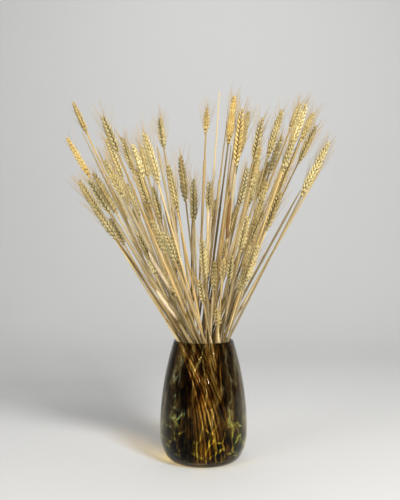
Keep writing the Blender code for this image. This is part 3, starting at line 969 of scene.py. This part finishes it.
# %% Dress an ear
def dress_ear(bm, straw, base, rng):
    """Set the spikelets up the ear, with awns on most lemmas, and three lemmas at its tip."""
    count = max(8, round(straw["ear"] / SPIKELET_STEP))
    for i in range(count):
        s = (i + 0.3) / count * FILLED
        middle, along, across, deep = frame_at(straw, base + (straw["top"] - base) * s)
        size = ear_shape(s, straw["ear"]) * straw["slim"]
        out = across * (1 if i % 2 else -1)
        light = straw["light"] + rng.uniform(-0.14, 0.14)
        gold = min(1, max(0, straw["gold"] + rng.uniform(-0.15, 0.15)))
        for kind, side, rise, apart, splay, tilt, roll in SPIKELET:
            seat = middle + out * (SEAT_OUT * size) + deep * (side * apart * size) + along * (rise * size)
            splayed, tilted = splay + rng.uniform(-3, 3), tilt + rng.uniform(-3, 3)
            way = turned_out(out, deep, along, side, splayed, tilted)
            a = math.radians(roll)
            back = out * math.cos(a) + deep * (side * math.sin(a))
            shade = light - (0.10 if kind == "glume" else 0) + rng.uniform(-0.10, 0.10)
            husk_size = size * rng.uniform(0.95, 1.05)
            tip = put_husk(bm, TEMPLATES[kind], seat, way, back, husk_size, shade, gold, rng)
            if kind == "lemma" and (side or rng.random() < LONE_BEARD) and rng.random() < straw["beard"]:
                spread = math.radians(rng.uniform(2, 17))
                swing = deep * (side * rng.uniform(0.0, 0.22)) + across * rng.uniform(-0.06, 0.06)
                end = (along * math.cos(spread) + out * math.sin(spread) + swing).normalized()
                length = rng.uniform(*AWN_LENGTHS) * MM * (0.6 + 0.4 * math.sin(math.pi * min(1, s + 0.2)))
                start = way.lerp(end, 0.5).normalized()
                put_awn(bm, tip - way * (1.0 * MM), start, end, length, rng.uniform(0.3, 0.8))
    middle, along, across, deep = frame_at(straw, straw["top"])
    size = ear_shape(1, straw["ear"]) * straw["slim"]
    for side in (-1, 0, 1):
        way = (along + deep * (side * 0.16) + across * 0.05).normalized()
        seat = middle - along * (5.0 * MM) + deep * (side * 0.9 * MM * size)
        back = deep * side if side else across
        put_husk(bm, lemma, seat, way, back, size * 0.9, straw["light"], straw["gold"], rng)


print("spikelets on the longest ear:", round(max(straw["ear"] for straw in standing) / SPIKELET_STEP))

# %% [markdown]
# ## Leaf blades
#
# Most dried wheat has lost its leaves. A few blades are left, thin and curled, each from its joint. Cloth
# simulation could curl them, but a dry blade keeps its fold, so a flat grid is bent along the leaf's line:
# its sides fold back, its edges ripple a little and it twists towards its tip. Then it gets a thickness.

# %% Leaf
BROWN_LEAF = LEAVES[1]
LEAF_SEGMENTS = 4
LEAF_STEPS = 22
LEAF_THICKNESS = 0.4 * MM
LEAF_TWIST = 0.9
print("leaf grid:", LEAF_SEGMENTS, "by", LEAF_STEPS)


def leaf_shape(s):
    """Share of full width at share s of the blade."""
    return max((0.5 + 2.2 * s) * (1 - s) ** 0.55, 0.06)


def dress_leaf(bm, straw):
    """Bend a grid along the leaf's line."""
    leaf = straw["leaf"]
    spine = leaf["spine"]
    last = len(spine) - 1
    blade = bmesh.new()
    bmesh.ops.create_grid(blade, x_segments=LEAF_SEGMENTS, y_segments=LEAF_STEPS, size=0.5)
    flat = leaf["along"].cross(leaf["out"]).normalized()
    for v in blade.verts:
        s = v.co.y + 0.5
        k = min(int(s * last), last - 1)
        place = spine[k].lerp(spine[k + 1], s * last - k)
        way = (spine[min(k + 2, last)] - spine[max(k - 1, 0)]).normalized()
        across = (flat - way * flat.dot(way)).normalized()
        twist = LEAF_TWIST * s
        across = across * math.cos(twist) + way.cross(across) * math.sin(twist)
        outer = across.cross(way)
        outer = outer if outer.dot(leaf["out"]) > 0 else -outer
        half = leaf["half"] * leaf_shape(s)
        fold = half * (0.8 * (2 * abs(v.co.x)) ** 1.4 + 0.12 * math.sin(19 * s + 3 * v.co.x))
        v.co = place + across * (v.co.x * 1.7 * half) - outer * fold
    bmesh.ops.recalc_face_normals(blade, faces=blade.faces)
    bmesh.ops.solidify(blade, geom=blade.faces[:], thickness=LEAF_THICKNESS)
    template = to_template("blade", blade, LEAF)
    from_joint = template["co"] - np.array(spine[0])
    shares = from_joint @ np.array(leaf["along"]) / (spine[-1] - spine[0]).length
    grain = [(place @ np.array(flat), 0, share * 0.08) for place, share in zip(from_joint, shares)]
    light, gold = (0.3, 1.0) if leaf["kind"] == BROWN_LEAF else (0.75, 0.1)
    tint = [(light, gold, share) for share in shares]
    put(bm, template, template["co"], grain, tint)
    bpy.data.meshes.remove(template["mesh"])


# %% [markdown]
# ## Build the stalks
#
# Straw, ear and leaf of one stalk grew as one piece, so they are one mesh, which takes its solid's place.
# Dried stalks differ a lot in colour. A texture over the whole sheaf could vary them, but it would change
# along a stalk too, so each stalk draws its own shares: how pale its straw and its ear are, how golden, and
# how bearded. A few ears are listed as golden. Those deep in the sheaf are painted darker: painted shade of
# the stalks in front of them.

# %% Stalk pieces
RIPE = (0.0, 0.65, 0.12, 0.4, 0.25)
GOLDEN = {(-24.2, 66.2): 0.7, (-25.5, 59.7): 0.75, (5.8, 67.3): 0.75, (7.1, 65.1): 0.7, (0.7, 64.8): 0.6}


def draw_looks(straw, rng):
    """Draw how golden, pale, slim and bearded this stalk is. Stalks deep in the sheaf get painted shade."""
    depth = straw["path"][UPPER_LEVEL][1]
    straw["gold"] = GOLDEN.get(straw["tip"][:2], rng.uniform(0.05, 0.5))
    # Painted shade: ears deep in the sheaf are darkened for the shade of the stalks in front; the random part
    # is their own tone.
    straw["light"] = rng.uniform(0.2, 0.8) - 1.5 * max(0, depth) - 0.35 * (rng.random() < 0.12)
    worn = rng.choice((-0.2, 0.05, 0.3, 0.55, 0.9)) + rng.uniform(-0.12, 0.12)
    # Painted shade: straws deep in the sheaf are darkened in the same way, on top of their own random tone.
    straw["straw_light"] = max(-0.3, worn - 1.2 * max(0, depth))
    straw["ripe"] = RIPE[3 * straw["number"] % 5]
    straw["slim"] = 0.86 if straw["tip"][0] < -24 else rng.uniform(0.94, 1.04)
    straw["loose"] = 1.3 if rng.random() < 0.2 else 1.0
    straw["wrap"] = rng.choice((0, 0.05, 0.10, 0.15))
    straw["beard"] = rng.uniform(0.45, 1.0) if straw["tip"][0] > -24 else 0.12


def build_stalk(straw):
    """One mesh of straw, ear and leaf, on the body root and in its solid's place."""
    rng = random.Random(700 + straw["number"])
    draw_looks(straw, rng)
    base = straw["top"]
    if straw["ear"]:
        while (centre(straw, straw["top"]) - centre(straw, base)).length < straw["ear"]:
            base -= 0.002
    bm = bmesh.new()
    lay_straw(bm, straw, base, rng)
    if straw["ear"]:
        dress_ear(bm, straw, base, rng)
    if straw["leaf"]:
        dress_leaf(bm, straw)
    name = straw["node"] + "_dressed" if straw["node"] else straw["name"]
    mesh = bpy.data.meshes.new(name)
    bm.to_mesh(mesh)
    bm.free()
    for look in LOOKS:
        mesh.materials.append(look)
    piece = add_piece(name, mesh)
    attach(piece, "root")
    if straw["node"]:
        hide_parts(straw["node"])
    return piece


stalks = [build_stalk(straw) for straw in standing + between]
print("stalks:", len(stalks), "triangles:", sum(len(p.vertices) - 2 for s in stalks for p in s.data.polygons))

# %% [markdown]
# ## Glass vase
#
# The vase is blown glass with a thick wall. It could be a subdivided cylinder with a Solidify modifier, but
# the light bends in the glass as its inside and outside really run, and the floor is thicker than the wall.
# So its half section goes up the inside, over the rounded rim and down the outside, and is spun round.


# %% Vase mesh
FLOOR_STEPS = 9
WALL_STEPS = 15
RIM_STEPS = 8
FOOT_STEPS = 10
VASE_STEPS = 96


def vase_section():
    """From the middle of the floor, up inside, over the rim, and down outside to the base."""
    points = [(0, FLOOR)]
    for i in range(FLOOR_STEPS):
        z = BELLY_HEIGHT - (BELLY_HEIGHT - FLOOR) * math.cos(math.radians(90 * i / FLOOR_STEPS))
        points.append((inside(z), z))
    shoulder = VASE_HEIGHT - WALL / 2
    for i in range(WALL_STEPS + 1):
        z = BELLY_HEIGHT + (shoulder - BELLY_HEIGHT) * i / WALL_STEPS
        points.append((inside(z), z))
    middle = outside(shoulder) - WALL / 2
    for i in range(1, RIM_STEPS):
        turn = math.pi * (1 - i / RIM_STEPS)
        points.append((middle + WALL / 2 * math.cos(turn), shoulder + WALL / 2 * math.sin(turn)))
    for i in range(WALL_STEPS + 1):
        z = shoulder - (shoulder - BELLY_HEIGHT) * i / WALL_STEPS
        points.append((outside(z), z))
    for i in range(1, FOOT_STEPS + 1):
        z = BELLY_HEIGHT * (1 - math.cos(math.radians(90 - 90 / FOOT_STEPS * i)))
        points.append((outside(z), z))
    points.append((0, 0))
    return points


def build_vase():
    """Spin the half section round the axis."""
    bm = bmesh.new()
    corners = [bm.verts.new((r, 0, z)) for r, z in vase_section()]
    edges = [bm.edges.new(pair) for pair in zip(corners, corners[1:])]
    bmesh.ops.spin(
        bm, geom=corners + edges, cent=(0, 0, 0), axis=(0, 0, 1), dvec=(0, 0, 0), angle=math.tau,
        steps=VASE_STEPS, use_merge=True,
    )
    bmesh.ops.remove_doubles(bm, verts=bm.verts, dist=0.00001)
    bmesh.ops.recalc_face_normals(bm, faces=bm.faces)
    mesh = bpy.data.meshes.new("glass_vase")
    bm.to_mesh(mesh)
    bm.free()
    mesh.shade_smooth()
    return add_piece("glass_vase", mesh)


vase = build_vase()
print("vase faces:", len(vase.data.polygons))

# %% [markdown]
# ## Mottled glass
#
# Flecks of amber, olive and black are rolled into the hot glass and are drawn upward as it is blown: long
# streaks and pale threads above, small dark cells between bright veins below. Painting that would need a
# picture. Noise and the seams of Voronoi cells, stretched along the height, give the same kind of pattern
# from formulas. It colours what the glass lets through, so the straws inside take part in it. Both faces of
# the wall read the place on one cylinder, so that their patterns lie on each other.


# %% Patterns for the glass
PATTERN_RADIUS = 70 * MM
SWAY = 0.016


def ramp(tree, value, stops):
    """A colour from the value, by stops of a position and a colour."""
    node = add_node(tree, "ShaderNodeValToRGB", Fac=value)
    elements = node.color_ramp.elements
    elements[0].position, elements[0].color = stops[0][0], (*stops[0][1], 1)
    elements[1].position, elements[1].color = stops[1][0], (*stops[1][1], 1)
    for position, colour in stops[2:]:
        elements.new(position).color = (*colour, 1)
    return node.outputs["Color"]


def drawn_up(tree, place, stretch):
    """The place on the wall, drawn out along the vase's height by 1 / stretch."""
    return add_node(tree, "ShaderNodeMapping", Vector=place, Scale=(1.0, 1.0, stretch)).outputs[0]


def noise(tree, place, stretch, scale, detail=2.0):
    """Soft noise, drawn out along the height."""
    drawn = drawn_up(tree, place, stretch)
    return add_node(tree, "ShaderNodeTexNoise", Vector=drawn, Scale=scale, Detail=detail).outputs["Fac"]


def net(tree, place, stretch, scale, width):
    """A mask that is 1 along the seams between cells and 0 further than this share of a cell from them."""
    cells = add_node(
        tree, "ShaderNodeTexVoronoi", {"feature": "DISTANCE_TO_EDGE"},
        Vector=drawn_up(tree, place, stretch), Scale=scale,
    ).outputs["Distance"]
    return remap(tree, cells, 0.0, width, 1.0, 0.0, "SMOOTHSTEP")


def where(tree, mask, fade):
    """The mask, kept only as far as the grey fade lets it."""
    return add_node(tree, "ShaderNodeMath", {"operation": "MULTIPLY"}, i0=mask, i1=fade).outputs[0]


def grey(level):
    """An even grey of this level."""
    return (level, level, level)


def wall_place(tree):
    """The place on one cylinder for both faces of the wall, bent a little, and the height."""
    place = add_node(tree, "ShaderNodeTexCoord").outputs["Object"]
    parts = add_node(tree, "ShaderNodeSeparateXYZ", Vector=place).outputs
    level = add_node(tree, "ShaderNodeCombineXYZ", X=parts[0], Y=parts[1]).outputs[0]
    round_wall = add_node(tree, "ShaderNodeVectorMath", {"operation": "NORMALIZE"}, i0=level).outputs[0]
    spread = add_node(
        tree, "ShaderNodeVectorMath", {"operation": "SCALE"}, i0=round_wall, Scale=PATTERN_RADIUS,
    ).outputs[0]
    upright = add_node(tree, "ShaderNodeCombineXYZ", Z=parts[2]).outputs[0]
    whole = add_node(tree, "ShaderNodeVectorMath", {"operation": "ADD"}, i0=spread, i1=upright).outputs[0]
    sway = add_node(tree, "ShaderNodeTexNoise", Vector=whole, Scale=38.0, Detail=2.0).outputs["Color"]
    bent = add_node(
        tree, "ShaderNodeVectorMath", {"operation": "MULTIPLY_ADD"}, i0=sway, i1=grey(SWAY), i2=whole,
    ).outputs[0]
    return bent, parts[2]


print("pattern cylinder radius in mm:", PATTERN_RADIUS / MM)

# %% Mottled glass material
STREAK_COLOURS = (
    (0.38, (0.030, 0.018, 0.008)), (0.47, (0.15, 0.095, 0.036)), (0.56, (0.36, 0.27, 0.13)),
    (0.66, (0.56, 0.51, 0.36)),
)
CELL_COLOURS = ((0.40, (0.007, 0.010, 0.003)), (0.49, (0.10, 0.068, 0.020)), (0.60, (0.36, 0.24, 0.07)))
THREAD_COLOUR = (0.84, 0.92, 0.74, 1)
VEIN_COLOUR = (0.92, 1.0, 0.36, 1)
ALL_ABOVE = 0.105
ALL_BELOW = 0.050


def mottled_glass():
    """Dark glass that lets streaks and threads of light through above, and cells and veins below.

    For lamps it is plain tinted glass, so that light reaches the straws inside.
    """
    made, tree, shader = new_material(
        "mottled_glass", Roughness=0.0, IOR=1.45, Transmission_Weight=1.0, Specular_Tint=(*grey(0.12), 1),
    )
    place, height = wall_place(tree)
    low = remap(tree, height, ALL_ABOVE, ALL_BELOW, 0.0, 1.0, "SMOOTHSTEP")
    faint = noise(tree, place, 0.3, 30.0)
    streaks = ramp(tree, noise(tree, place, 0.12, 66.0, detail=3.0), STREAK_COLOURS)
    thread_fade = ramp(tree, faint, ((0.40, grey(0.15)), (0.60, grey(0.95))))
    threads = where(tree, net(tree, place, 0.14, 46.0, 0.055), thread_fade)
    above = blend(tree, threads, streaks, THREAD_COLOUR)
    cells = ramp(tree, noise(tree, place, 0.4, 60.0), CELL_COLOURS)
    vein_fade = ramp(tree, faint, ((0.36, grey(0.08)), (0.53, grey(1.0))))
    veins = where(tree, net(tree, place, 0.5, 56.0, 0.09), vein_fade)
    below = blend(tree, veins, cells, VEIN_COLOUR)
    tree.links.new(blend(tree, low, above, below), shader.inputs["Base Color"])
    clear = add_node(tree, "ShaderNodeBsdfTransparent", Color=(0.84, 0.77, 0.62, 1))
    lamp_ray = add_node(tree, "ShaderNodeLightPath").outputs["Is Shadow Ray"]
    mixer = add_node(tree, "ShaderNodeMixShader", i0=lamp_ray, i1=shader.outputs[0], i2=clear.outputs[0])
    tree.links.new(mixer.outputs[0], tree.nodes["Material Output"].inputs["Surface"])
    return made


vase.data.materials.append(mottled_glass())
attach(vase, "root")
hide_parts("vase")
print("glass nodes:", len(vase.data.materials[0].node_tree.nodes))
